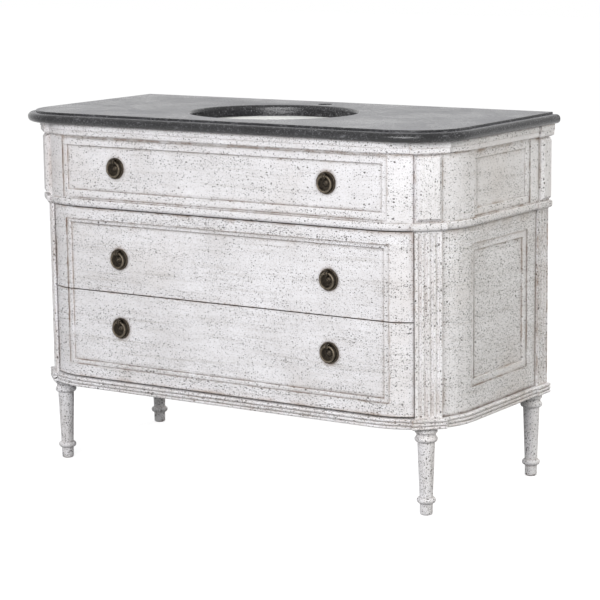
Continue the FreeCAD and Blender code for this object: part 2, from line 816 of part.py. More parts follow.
front_cornice = new_body("cornice_front")
for low, high, reach in cornice_layers:
    ring = corner_radius + reach
    right = corner_run(1, reach)[:5] + [cornice_cut(ring), cut_in, (corner_x, corner_y - cornice_inside)]
    left = [(-x, y) for x, y in reversed(right)]
    arcs = {
        0: (-corner_x, corner_y, cornice_inside),
        2: (-corner_x, corner_y, ring),
        6: (-corner_x, corner_y, ring),
        8: (corner_x, corner_y, ring),
        12: (corner_x, corner_y, ring),
        14: (corner_x, corner_y, cornice_inside),
    }
    if reach is cornice_reach:
        right.pop(5)
        left.pop(2)
        arcs = {
            0: (-corner_x, corner_y, cornice_inside),
            5: (-corner_x, corner_y, ring),
            7: (corner_x, corner_y, ring),
            12: (corner_x, corner_y, cornice_inside),
        }
    slice_of(front_cornice, low, high, left + right, arcs)
round_cornice(front_cornice)
for hand, sign in (("left", -1), ("right", 1)):
    side_cornice = new_body("cornice_" + hand)
    for low, high, reach in cornice_layers:
        ring = corner_radius + reach
        points = [cornice_cut(ring)] + corner_run(1, reach)[5:]
        points += [
            (body_half + cornice_reach - cornice_rail, body_back),
            (body_half + cornice_reach - cornice_rail, corner_y), cut_in,
        ]
        arcs = {0: (corner_x * sign, corner_y, ring), 6: (corner_x * sign, corner_y, cornice_inside)}
        slice_of(side_cornice, low, high, [(x * sign, y) for x, y in points], arcs)
    round_cornice(side_cornice)


# Bowed fronts: plan with curved ends, sunk panel with a quirk and a rounded mould
def bowed_plan(face, back, half):
    """Front board between two offsets from the body outline."""
    far = half - corner_x
    outer, inner = corner_radius + face, corner_radius + back
    outer_y = corner_y - leg_of(outer, far)
    inner_y = corner_y - leg_of(inner, far)
    points = [
        (-half, inner_y), (-half, outer_y), (-corner_x, corner_y - outer), (corner_x, corner_y - outer),
        (half, outer_y), (half, inner_y), (corner_x, corner_y - inner), (-corner_x, corner_y - inner),
    ]
    arcs = {
        1: (-corner_x, corner_y, outer), 3: (corner_x, corner_y, outer),
        5: (corner_x, corner_y, inner), 7: (-corner_x, corner_y, inner),
    }
    return points, arcs


def bowed_front(label, low, high, face, back, end, panel_low, panel_high, mould, open_low, open_high):
    """One front board; its panel may run out through the lower or upper edge."""
    front = new_body(label)
    slice_of(front, low, high, *bowed_plan(face, back, end))
    for inset, rise, depth in ((as_size(0), as_size(0), panel_quirk), (panel_mould, mould, panel_depth)):
        half = panel_half - inset
        floor = corner_radius + face - depth
        floor_y = corner_y - leg_of(floor, half - corner_x)
        clear_y = body_front - face - cut_clear
        points = [
            (-half, floor_y), (-half, clear_y), (half, clear_y), (half, floor_y),
            (corner_x, corner_y - floor), (-corner_x, corner_y - floor),
        ]
        arcs = {3: (corner_x, corner_y, floor), 5: (-corner_x, corner_y, floor)}
        cut_low = panel_low if open_low else panel_low + rise
        cut_high = panel_high if open_high else panel_high - rise
        recess(front, cut_low, cut_high, points, arcs)
    rim = corner_radius.value + face.value - panel_quirk.value
    half = panel_half.value - panel_mould.value
    low_line = None if open_low else (panel_low + mould).value
    high_line = None if open_high else (panel_high - mould).value

    def on_mould(edge):
        point = middle(edge)
        across = max(abs(point.x) - corner_x.value, 0)
        if abs(math.hypot(across, point.y - corner_y.value) - rim) > 0.05:
            return False
        if level_of(edge) is None:
            return abs(abs(point.x) - half) < 0.05
        wanted = [line for line in (low_line, high_line) if line is not None]
        return any(abs(point.z - line) < 0.05 for line in wanted)

    dress(front, "Fillet", on_mould, mould_round)
    return front


back_face = -front_thick
false_front = bowed_front(
    "false_front", waist_level, cornice_low, frieze_step, back_face, post_x,
    frieze_low + frieze_panel_edge, cornice_low - frieze_panel_edge, frieze_mould, False, False)
slice_of(false_front, waist_level, frieze_low, *bowed_plan(bead_reach, back_face, post_x))
dress(false_front, "Fillet", lambda e: on_rim(e, waist_level, bead_reach), bead_round)
dress(false_front, "Fillet", lambda e: on_rim(e, frieze_low, bead_reach), bead_top_round)

mid_low, mid_high = split_level + front_gap / 2, waist_level - front_gap
low_low, low_high = base_top + floor_gap, split_level - front_gap / 2
bowed_front("drawer_upper_front", mid_low, mid_high, as_size(0), back_face, front_half,
            mid_low, waist_level - panel_from_waist, drawer_mould, True, False)
bowed_front("drawer_lower_front", low_low, low_high, as_size(0), back_face, front_half,
            base_top + panel_from_base, low_high, drawer_mould, False, True)

# Rails behind the fronts, between the front posts
rail_levels = {"rail_upper": waist_level - rail_drop, "rail_lower": split_level - rail_thick / 2}
ring = corner_radius - front_thick - rail_gap
for label, low in rail_levels.items():
    rail = new_body(label)
    end_y = corner_y - leg_of(ring, post_x - corner_x)
    points = [
        (-post_x, rail_back), (-post_x, end_y), (-corner_x, corner_y - ring),
        (corner_x, corner_y - ring), (post_x, end_y), (post_x, rail_back),
    ]
    arcs = {1: (-corner_x, corner_y, ring), 3: (corner_x, corner_y, ring)}
    slice_of(rail, low, low + rail_thick, points, arcs)

# Back of the body
inner_rear = body_half + pilaster_proud - rear_post_thick
box("back_panel", -inner_rear, inner_rear, body_back - back_thick, body_back, base_top, back_top)
box("back_rail", -inner_rear, inner_rear, body_back - back_rail_thick, body_back,
    slab_low - back_rail_high, slab_low)

# Drawer boxes on their runners; the upper one has a notch for the waste pipe
wall_x = box_half - box_wall
inside_ring = corner_radius - front_thick
wall_y = corner_y - leg_of(inside_ring, wall_x - corner_x)
side_y = corner_y - leg_of(inside_ring, box_half - corner_x)
floor_back = box_back - box_wall
box_levels = {
    "drawer_upper": (rail_levels["rail_lower"] + rail_thick + box_rail_gap,
                     rail_levels["rail_upper"] - box_rail_gap),
    "drawer_lower": (base_top + low_box_lift, rail_levels["rail_lower"] - box_rail_gap),
}
for drawer, (low, high) in box_levels.items():
    for hand, sign in (("left", -1), ("right", 1)):
        wall = new_body("%s_side_%s" % (drawer, hand))
        points = [(wall_x, wall_y), (box_half, side_y), (box_half, box_back), (wall_x, box_back)]
        slice_of(wall, low, high, [(x * sign, y) for x, y in points],
                 {0: (corner_x * sign, corner_y, inside_ring)})
        ledge_low = base_top if drawer == "drawer_lower" else low - run_gap - ledge_thick
        ledge_top = low - run_gap
        guide_in = box_half + guide_gap
        guide_out = guide_in + guide_thick
        runner = new_body("%s_runner_%s" % (drawer, hand))
        section = new_sketch(runner, "XZ_Plane", -rear_front)
        points = [
            (ledge_inner, ledge_low), (ledge_outer, ledge_low), (ledge_outer, ledge_top),
            (guide_out, ledge_top), (guide_out, ledge_top + guide_high), (guide_in, ledge_top + guide_high),
            (guide_in, ledge_top), (ledge_inner, ledge_top),
        ]
        draw(section, [(x * sign, z) for x, z in points])
        pad(runner, section, rear_front - rail_back)
    floor = new_body(drawer + "_floor")
    floor_low = low + box_floor_lift
    wall_top = high - box_back_drop
    points = [
        (-wall_x, floor_back), (-wall_x, wall_y), (-corner_x, corner_y - inside_ring),
        (corner_x, corner_y - inside_ring), (wall_x, wall_y), (wall_x, floor_back),
    ]
    arcs = {1: (-corner_x, corner_y, inside_ring), 3: (corner_x, corner_y, inside_ring)}
    if drawer == "drawer_upper":
        notch_x = notch_half + box_wall
        notch_y = notch_front - box_wall
        points += [(notch_x, floor_back), (notch_x, notch_y), (-notch_x, notch_y), (-notch_x, floor_back)]
        box("drawer_upper_notch_front", -notch_x, notch_x, notch_y, notch_front, floor_low, wall_top)
        box("drawer_upper_notch_left", -notch_x, -notch_half, notch_front, box_back, floor_low, wall_top)
        box("drawer_upper_notch_right", notch_half, notch_x, notch_front, box_back, floor_low, wall_top)
        box("drawer_upper_back_left", -wall_x, -notch_x, floor_back, box_back, floor_low, wall_top)
        box("drawer_upper_back_right", notch_x, wall_x, floor_back, box_back, floor_low, wall_top)
    else:
        box("drawer_lower_back", -wall_x, wall_x, floor_back, box_back, floor_low, wall_top)
    slice_of(floor, floor_low, floor_low + box_floor, points, arcs)

# Ring pulls: turned plate with a lug, and a ring that hangs in the lug's eye
eye_radius = ring_wire + ring_radius - leg_of(ring_radius, lug_half) + eye_gap
lug_radius = eye_radius + lug_wall
dome_rise = boss_high - plate_thick
dome_radius = (boss_radius * boss_radius + dome_rise * dome_rise) / (dome_rise * 2)
dome_out = boss_high - dome_radius
nub_out = dome_out + leg_of(dome_radius, nub_radius)
rim_in = plate_radius - plate_rim_wide
rim_half = plate_rim_wide / 2
rim_peak = plate_thick + rim_half
pull_rows = {
    "top": (pull_top_level, body_front - frieze_step + panel_depth),
    "mid": (pull_mid_level, body_front + panel_depth),
    "low": (pull_low_level, body_front + panel_depth),
}
for row, (level, field_y) in pull_rows.items():
    for hand, sign in (("left", -1), ("right", 1)):
        plate = new_body("pull_plate_%s_%s" % (row, hand))
        turned = new_sketch(plate)
        profile = [
            (as_size(0), as_size(0)), (plate_radius, as_size(0)), (plate_radius, -plate_thick),
            (plate_radius - rim_half, -rim_peak), (rim_in, -plate_thick), (boss_radius, -plate_thick),
            (nub_radius, -nub_out), (nub_radius, nub_radius * 0.4 - nub_high),
            (nub_radius * 0.6, -nub_high), (as_size(0), -nub_high),
        ]
        swells = {
            2: (plate_radius - rim_half, -plate_thick, rim_half),
            3: (plate_radius - rim_half, -plate_thick, rim_half),
            5: (0, -dome_out, dome_radius),
        }
        draw(turned, profile, swells)
        lathe = plate.newObject("PartDesign::Revolution", plate.Name + "_turning")
        lathe.Profile = turned
        lathe.ReferenceAxis = (turned, ["V_Axis"])
        lathe.Angle = 360
        plate.Tip = lathe
        lug = new_sketch(plate, "YZ_Plane", -lug_half)
        outline = [
            (-plate_thick / 2, pivot_up - lug_radius), (-pivot_out, pivot_up - lug_radius),
            (-pivot_out - lug_radius, pivot_up), (-pivot_out, pivot_up + lug_radius),
            (-plate_thick / 2, pivot_up + lug_radius),
        ]
        bend = (-pivot_out, pivot_up, lug_radius)
        draw(lug, outline, {1: bend, 2: bend})
        pad(plate, lug, lug_half * 2)
        eye = new_sketch(plate, "YZ_Plane", lug_half)
        draw_circle(eye, -pivot_out, pivot_up, eye_radius)
        pocket(plate, eye, lug_half * 2)
        place(plate, pull_x * sign, field_y, level)

        label = "pull_ring_%s_%s" % (row, hand)
        ring = doc.addObject("Part::Torus", label)
        ring.Label = label
        bind(ring, "Radius1", ring_radius)
        bind(ring, "Radius2", ring_wire)
        ring.Placement.Rotation = FreeCAD.Rotation(FreeCAD.Vector(1, 0, 0), 90)
        place(ring, pull_x * sign, field_y - pivot_out, level + pivot_up - ring_radius)
        nodes[label] = ring

doc.recompute()
for thing in doc.Objects:
    if "Invalid" in thing.State or "Error" in thing.State:
        raise RuntimeError("feature failed: " + thing.Label)
os.makedirs("parts", exist_ok=True)
for label, thing in nodes.items():
    shape = thing.Shape
    if shape.isNull() or not shape.isValid() or len(shape.Solids) != 1:
        raise RuntimeError("bad solid: " + label)
    shape.exportStep("parts/%s.step" % label)
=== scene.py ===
"""Painted vanity unit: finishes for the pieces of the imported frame, and a plain studio round them."""

import json
import math
from collections import namedtuple

import bpy
from bpy.props import FloatProperty, FloatVectorProperty, PointerProperty
from mathutils import Matrix, Vector


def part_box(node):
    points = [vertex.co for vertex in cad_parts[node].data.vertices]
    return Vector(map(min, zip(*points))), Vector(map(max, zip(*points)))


bl_info = {
    "name": "Painted Vanity Unit",
    "version": (1, 0, 0),
    "blender": (4, 5, 0),
    "location": "3D View > Sidebar > Vanity",
    "description": "Gives the pieces of a painted vanity unit their finishes and sets them on a stage",
    "category": "Object",
}

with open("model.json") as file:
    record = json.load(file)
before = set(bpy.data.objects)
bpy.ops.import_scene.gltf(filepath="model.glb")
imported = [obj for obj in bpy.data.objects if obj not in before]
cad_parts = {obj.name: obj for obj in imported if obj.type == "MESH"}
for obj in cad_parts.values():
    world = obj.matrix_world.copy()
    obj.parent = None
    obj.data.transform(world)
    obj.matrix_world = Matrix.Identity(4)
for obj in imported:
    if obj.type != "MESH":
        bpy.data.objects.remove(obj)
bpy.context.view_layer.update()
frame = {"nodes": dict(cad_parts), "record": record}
NODES = frame["nodes"]

# Shading of the carried nodes: welding distance in metres, sharpest smooth edge in degrees
SHADING = "smooth_between_arrises"
WELD = 0.000002
CREASE = 28.0

# Places on the frame, in metres
FRONT_LOW, FRONT_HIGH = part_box("false_front")
SIDE_LOW, SIDE_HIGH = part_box("side_board_right")
FRONT_END = FRONT_HIGH[0]
WAIST = FRONT_LOW[2]
SIDE_FRONT = SIDE_LOW[1]
SIDE_REAR = SIDE_HIGH[1]
SIDE_FOOT = SIDE_LOW[2]

# Panels of the side boards, as the part has them: outer edges below the waist, inner edges above it
PANEL_MOULD = 0.017
PANEL_REAR = SIDE_REAR - 0.043
PANEL_LOW = SIDE_FOOT + 0.055
PANEL_HIGH = WAIST - 0.041
PANEL_LINE = SIDE_REAR - 0.2925
FRIEZE_LOW = WAIST + 0.0385
FRIEZE_HIGH = WAIST + 0.1485

# Ends of the fronts where the dark wax and painted shade thin out: much at the left end, painted lighter as
# the light falls there, a little at the right end
LEFT_THIN, LEFT_FULL = -0.44, -0.41
RIGHT_FULL, RIGHT_THIN = 0.42, 0.455

# Brush drag and chips run along the boards, or up the posts and legs
LYING_DRAG = (7.0, 7.0, 210.0)
LYING_CHIPS = (0.72, 0.9, 1.25)
STANDING_DRAG = (190.0, 190.0, 6.0)
STANDING_CHIPS = (1.1, 1.1, 0.85)

# Wear of the paint: lengths in metres, hollows from which dark wax and painted shade show and are full,
# shares from 0 to 1
Wear = namedtuple("Wear", "drag chips least_chips rub_reach wax_reach wax_from wax_full wax_share")
FRONTS = Wear(LYING_DRAG, LYING_CHIPS, least_chips=0.28, rub_reach=0.0045,
              wax_reach=0.008, wax_from=0.09, wax_full=0.3, wax_share=0.9)
SIDES = Wear(LYING_DRAG, LYING_CHIPS, least_chips=0.45, rub_reach=0.0045,
             wax_reach=0.013, wax_from=0.05, wax_full=0.2, wax_share=0.9)
MOULDINGS = Wear(LYING_DRAG, LYING_CHIPS, least_chips=0.4, rub_reach=0.0045,
                 wax_reach=0.003, wax_from=0.1, wax_full=0.34, wax_share=0.3)
TURNINGS = Wear(STANDING_DRAG, STANDING_CHIPS, least_chips=0.5, rub_reach=0.003,
                wax_reach=0.004, wax_from=0.1, wax_full=0.34, wax_share=0.36)

# How strongly each layer of wear covers the paint; the smears also carry painted shade round recesses
STAIN_SHARE = 0.3
STREAK_SHARE = 0.6
GRAIN_SHARE = 0.65
RUB_SHARE = 0.7
SMEAR_AND_SHADE_SHARE = 0.8
WEAR_ABOVE_WAIST = 0.68

# Chips: cells to a metre, radius in cells, share of the crowded cells, strength
Chips = namedtuple("Chips", "per_metre radius share strength")
CHIP_SIZES = (
    Chips(430.0, 0.46, 0.85, 0.7),
    Chips(250.0, 0.42, 0.75, 0.85),
    Chips(112.0, 0.27, 0.75, 0.95),
)
CHIP_WANDER = 0.0032

# Grain of the bare wood, along x or along y
GRAIN_ACROSS = (9.0, 110.0, 110.0)
GRAIN_DEEP = (110.0, 9.0, 110.0)

# Pulls: petals round a boss, and how far hands have rubbed plates and rings
PETALS = 12
PLATES_RUBBED = 0.05
RINGS_RUBBED = 0.24

# Lamps of the studio, in metres
Lamp = namedtuple("Lamp", "name place target size colour mirrored")
KEY_LAMP = Lamp("key_lamp", (0.8, -3.3, 1.7), (0.0, 0.0, 0.6), (2.6, 1.4), (0.985, 0.985, 1.0), True)
SIDE_LAMP = Lamp("side_lamp", (4.0, 0.2, 1.9), (0.3, 0.0, 0.45), (2.0, 2.0), (0.98, 0.965, 0.89), False)
BACK_LAMP = Lamp("back_lamp", (1.0, 4.2, 2.8), (0.0, 0.0, 0.45), (2.6, 2.0), (1.0, 0.98, 0.95), False)

# Camera at the photograph's place: metres and degrees, and a sensor in millimetres
CAMERA_PLACE = (2.94675, -4.34180, 1.34191)
CAMERA_YAW = 33.602
CAMERA_PITCH = 10.021
CAMERA_ROLL = -0.6769
CAMERA_SENSOR = 36.0
CAMERA_FAR = 200.0


# Small helpers

def slot_nodes(slot):
    """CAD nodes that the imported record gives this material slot."""
    found = [row["node"] for row in frame["record"]["subparts"] if row["material_slot"] == slot]
    if not found:
        raise RuntimeError("the record has no node with the material slot " + slot)
    return found


def rgba(colour):
    return (colour[0], colour[1], colour[2], 1.0)


class Recipe:
    """A material's node tree, with short calls that add nodes and join them."""

    def __init__(self, name):
        self.material = bpy.data.materials.new(name)
        self.material.use_nodes = True
        self.tree = self.material.node_tree
        self.shader = self.tree.nodes["Principled BSDF"]
        self.place = self.node("ShaderNodeTexCoord").outputs["Object"]

    def put(self, socket, value):
        if isinstance(value, bpy.types.NodeSocket):
            self.tree.links.new(value, socket)
        else:
            socket.default_value = value

    def node(self, kind, inputs=None, **settings):
        made = self.tree.nodes.new(kind)
        for key, value in settings.items():
            setattr(made, key, value)
        for key, value in (inputs or {}).items():
            self.put(made.inputs[key], value)
        return made

    def stretched(self, scale):
        """Object coordinates, scaled differently along x, y and z."""
        return self.node("ShaderNodeMapping", {"Vector": self.place, "Scale": scale}).outputs["Vector"]

    def parts_of(self, vector):
        """The x, y and z of a vector, by name."""
        return self.node("ShaderNodeSeparateXYZ", {0: vector}).outputs

    def noise(self, vector, scale, detail=3.0, rough=0.5, twist=0.0):
        inputs = {"Vector": vector, "Scale": scale, "Detail": detail, "Roughness": rough, "Distortion": twist}
        return self.node("ShaderNodeTexNoise", inputs).outputs["Fac"]

    def remap(self, value, low, high, to_low=0.0, to_high=1.0):
        inputs = {"Value": value, "From Min": low, "From Max": high, "To Min": to_low, "To Max": to_high}
        return self.node("ShaderNodeMapRange", inputs).outputs["Result"]

    def calc(self, operation, first, second=0.0):
        return self.node("ShaderNodeMath", {0: first, 1: second}, operation=operation).outputs["Value"]

    def times(self, first, *others):
        for other in others:
            first = self.calc("MULTIPLY", first, other)
        return first

    def most(self, first, *others):
        """The highest of the values at each point."""
        for other in others:
            first = self.calc("MAXIMUM", first, other)
        return first

    def off(self, value, level):
        """How far a value is from a level, on either side."""
        return self.calc("ABSOLUTE", self.calc("SUBTRACT", value, level))

    def vector_calc(self, operation, first, second):
        made = self.node("ShaderNodeVectorMath", {0: first, 1: second}, operation=operation)
        return made.outputs["Vector"]

    def blend(self, share, under, over):
        """One colour over another, or over the layers so far."""
        made = self.node("ShaderNodeMix", data_type="RGBA")
        self.put(made.inputs["Factor"], share)
        self.put(made.inputs[6], under)
        self.put(made.inputs[7], over)
        return made.outputs[2]

    def hollows(self, reach):
        """Near 1 deep in a quirk or joint, 0 on open surfaces."""
        made = self.node("ShaderNodeAmbientOcclusion", {"Distance": reach}, samples=4)
        return self.remap(made.outputs["AO"], 1.0, 0.0)

    def arrises(self, reach):
        """Near 1 on an outer edge, 0 on broad faces."""
        made = self.node("ShaderNodeAmbientOcclusion", {"Distance": reach}, samples=4, inside=True,
                         only_local=True)
        return self.remap(made.outputs["AO"], 1.0, 0.0)

    def flecks(self, vector, per_metre, radius, share):
        """Small round marks in a share of the cells of a scattered pattern."""
        cells = self.node("ShaderNodeTexVoronoi", {"Vector": vector, "Scale": per_metre})
        draws = self.node("ShaderNodeSeparateColor", {"Color": cells.outputs["Color"]})
        reach = self.remap(draws.outputs["Green"], 0.0, 1.0, radius * 0.45, radius)
        near = self.remap(cells.outputs["Distance"], reach, self.times(reach, 0.82))
        chosen = self.calc("LESS_THAN", draws.outputs["Red"], share)
        return self.times(near, chosen)

    def bump(self, height, strength, distance):
        inputs = {"Height": height, "Strength": strength, "Distance": distance}
        self.put(self.shader.inputs["Normal"], self.node("ShaderNodeBump", inputs).outputs["Normal"])

    def finish(self, **values):
        for key, value in values.items():
            self.put(self.shader.inputs[key.replace("_", " ")], value)
        return self.material


# Painted wood

def ragged_place(recipe, stretch):
    """Coordinates for the chips, shifted a little so that their outlines are ragged."""
    wander = recipe.node("ShaderNodeTexNoise", {"Vector": recipe.place, "Scale": 260.0, "Detail": 2.0})
    shift = recipe.vector_calc("MULTIPLY", wander.outputs["Color"], (CHIP_WANDER, CHIP_WANDER, CHIP_WANDER))
    return recipe.vector_calc("ADD", recipe.stretched(stretch), shift)


def chipped(recipe, stretch, crowd):
    """Chips of three sizes, closer together where crowd is high."""
    place = ragged_place(recipe, stretch)
    layers = []
    for size in CHIP_SIZES:
        marks = recipe.flecks(place, size.per_metre, size.radius, recipe.times(crowd, size.share))
        layers.append(recipe.times(marks, size.strength))
    return recipe.most(*layers)


def side_wax_and_shade_share(recipe, spot):
    """Share of the dark wax and painted shade kept on a side: little at the front post and round the inner
    panels.
    """
    at_post = recipe.remap(spot["Y"], SIDE_FRONT, SIDE_FRONT + 0.03, 0.1, 1.0)
    behind = recipe.remap(spot["Y"], PANEL_REAR - 0.012, PANEL_REAR - 0.008, 0.45, 1.0)
    below = recipe.remap(spot["Z"], PANEL_LOW + 0.013, PANEL_LOW + 0.009, 0.45, 1.0)
    bead = recipe.remap(recipe.off(spot["Z"], WAIST + 0.004), 0.03, 0.025)
    return recipe.times(at_post, recipe.most(behind, below, bead))


def side_lines(recipe, spot):
    """Dark lines on a side: painted shade at the front edges of the inner panels, darker towards the bottom,
    and dark joints with the base and the rear post.
    """
    # Painted shade along the front edges of the sunk inner panels, where their walls would be in shade
    edge = recipe.remap(recipe.off(spot["Y"], PANEL_LINE), 0.0038, 0.0018)
    inner_low = PANEL_LOW + PANEL_MOULD
    inner_high = PANEL_HIGH - PANEL_MOULD
    tall = recipe.times(recipe.remap(spot["Z"], inner_low - 0.003, inner_low + 0.001),
                        recipe.remap(spot["Z"], inner_high + 0.003, inner_high - 0.001))
    darker_below = recipe.remap(spot["Z"], PANEL_HIGH - 0.06, PANEL_LOW + 0.09, 0.45, 1.0)
    low_edge = recipe.times(edge, tall, darker_below)
    upper = recipe.times(recipe.remap(spot["Z"], FRIEZE_LOW - 0.003, FRIEZE_LOW),
                         recipe.remap(spot["Z"], FRIEZE_HIGH + 0.003, FRIEZE_HIGH))
    top_edge = recipe.times(edge, upper, 0.4)
    base_joint = recipe.times(recipe.remap(spot["Z"], SIDE_FOOT + 0.007, SIDE_FOOT + 0.0035), 0.9)
    post_joint = recipe.times(recipe.remap(spot["Y"], SIDE_REAR - 0.006, SIDE_REAR - 0.003), 0.75)
    return recipe.most(low_edge, top_edge, base_joint, post_joint)


def wax_and_shade_mask(recipe, spot, wear, patchy, on_side):
    """Dark wax and painted shade in quirks and joints, and painted shade in deep gaps; thinner at the ends of
    the fronts, where the top one is nearly closed.
    """
    off_end = recipe.off(recipe.calc("ABSOLUTE", spot["X"]), FRONT_END)
    gaping = recipe.most(recipe.remap(off_end, 0.004, 0.016, 0.2, 1.0),
                         recipe.remap(spot["Z"], WAIST, WAIST - 0.02))
    # Less dark wax and painted shade at the left end, painted lighter where the light falls, a little less at
    # the right end, and patchy
    kept = recipe.times(gaping,
                        recipe.remap(spot["X"], LEFT_THIN, LEFT_FULL, 0.2, 1.0),
                        recipe.remap(spot["X"], RIGHT_FULL, RIGHT_THIN, 1.0, 0.6),
                        recipe.remap(patchy, 0.3, 0.6, 0.45, 1.0))
    if on_side:
        kept = recipe.times(kept, side_wax_and_shade_share(recipe, spot))
    # Dark wax and painted shade where the surface is sunk; painted shade at full strength in the deepest gaps
    sunk = recipe.hollows(wear.wax_reach)
    in_quirks = recipe.times(recipe.remap(sunk, wear.wax_from, wear.wax_full), kept, wear.wax_share)
    wax = recipe.most(in_quirks, recipe.times(recipe.remap(sunk, 0.64, 0.8), gaping))
    # Painted shade lines on the sides, with the dark joints
    if on_side:
        lines = recipe.times(side_lines(recipe, spot), recipe.remap(patchy, 0.3, 0.55, 0.5, 1.0))
        wax = recipe.most(wax, lines)
    return wax


def distressed_paint(looks, name, wear, on_side=False):
    """White paint over brown ground: brush drag, fine chips, rubbed edges, and dark wax with painted shade in
    the quirks.
    """
    recipe = Recipe(name)
    spot = recipe.parts_of(recipe.place)
    worn_share = recipe.remap(spot["Z"], WAIST - 0.02, WAIST + 0.02, 1.0, WEAR_ABOVE_WAIST)

    # Uneven paint, stain and the drag of the brush
    cloud = recipe.noise(recipe.place, 7.5, detail=5.0, rough=0.62)
    tone = recipe.blend(recipe.remap(cloud, 0.36, 0.68), rgba(looks.paint), rgba(looks.paint_shade))
    stain = recipe.remap(recipe.noise(recipe.place, 3.6, detail=4.0, rough=0.6), 0.52, 0.72)
    tone = recipe.blend(recipe.times(stain, STAIN_SHARE), tone, rgba(looks.stain))
    bands = recipe.stretched([4.0 + part * 0.15 for part in wear.drag])
    gather = recipe.noise(bands, 1.0, detail=5.0, rough=0.62)
    drag = recipe.noise(recipe.stretched(wear.drag), 1.0, detail=5.0, rough=0.65)
    streak = recipe.times(recipe.remap(drag, 0.47, 0.7), recipe.remap(gather, 0.38, 0.62, 0.2, 1.0))
    tone = recipe.blend(recipe.times(streak, worn_share, STREAK_SHARE), tone, rgba(looks.streak))
    grain = recipe.remap(recipe.noise(recipe.place, 340.0, detail=3.0, rough=0.7), 0.5, 0.72)
    tone = recipe.blend(recipe.times(grain, GRAIN_SHARE), tone, rgba(looks.streak))

    # Chips, gathered in bands along the brush marks
    crowd = recipe.times(recipe.remap(gather, 0.4, 0.63, wear.least_chips, looks.chip_share), worn_share)
    chips = chipped(recipe, wear.chips, crowd)
    tone = recipe.blend(chips, tone, rgba(looks.chip))

    # Rubbed edges, brown smears with painted shade round recesses, and dark wax with painted shade
    patchy = recipe.noise(recipe.place, 42.0, detail=4.0, rough=0.65)
    rubbed = recipe.times(recipe.remap(recipe.arrises(wear.rub_reach), 0.14, 0.45),
                          recipe.remap(patchy, 0.44, 0.62))
    tone = recipe.blend(recipe.times(rubbed, RUB_SHARE), tone, rgba(looks.ground))
    # Brown smears and painted shade round recesses, in broad patches
    broad = recipe.remap(recipe.noise(recipe.place, 16.0, detail=3.0, rough=0.6), 0.46, 0.62)
    smear_and_shade = recipe.times(recipe.remap(recipe.hollows(wear.wax_reach * 2.0), 0.05, 0.3), broad)
    tone = recipe.blend(recipe.times(smear_and_shade, wear.wax_share * SMEAR_AND_SHADE_SHARE), tone, rgba(looks.ground))
    tone = recipe.blend(wax_and_shade_mask(recipe, spot, wear, patchy, on_side), tone, rgba(looks.wax))

    worn = recipe.most(chips, rubbed)
    recipe.bump(recipe.calc("SUBTRACT", recipe.times(drag, 0.35), worn), 0.35, 0.0007)
    return recipe.finish(Base_Color=tone, Roughness=recipe.remap(worn, 0.0, 1.0, 0.52, 0.78))


# Other finishes

def bare_wood(looks, name, along):
    """Planed wood of the drawer boxes and back: growth bands, pores and painted shade in the corners, with
    one grain direction.
    """
    recipe = Recipe(name)
    wide = recipe.stretched([part * 0.07 for part in along])
    figure = recipe.noise(wide, 1.0, detail=3.0, rough=0.45, twist=0.5)
    bands = recipe.calc("PINGPONG", recipe.times(figure, 11.0), 1.0)
    grain = recipe.noise(recipe.stretched(along), 1.0, detail=6.0, rough=0.65, twist=0.3)
    narrow = recipe.stretched([part * 4.5 for part in along])
    pores = recipe.noise(narrow, 1.0, detail=3.0, rough=0.6)
    tone = recipe.blend(recipe.remap(bands, 0.25, 0.95), rgba(looks.wood), rgba(looks.wood_deep))
    tone = recipe.blend(recipe.times(recipe.remap(grain, 0.46, 0.66), 0.55), tone, rgba(looks.wood_deep))
    tone = recipe.blend(recipe.times(recipe.remap(pores, 0.54, 0.7), 0.6), tone, rgba(looks.ground))
    # Painted shade in the corners and recesses, in the dark brown of the wax
    corner_shade = recipe.times(recipe.remap(recipe.hollows(0.03), 0.35, 0.9), 0.55)
    tone = recipe.blend(corner_shade, tone, rgba(looks.wax))
    recipe.bump(recipe.calc("SUBTRACT", grain, recipe.times(pores, 0.8)), 0.25, 0.0006)
    return recipe.finish(Base_Color=tone, Roughness=recipe.remap(grain, 0.3, 0.7, 0.58, 0.76))


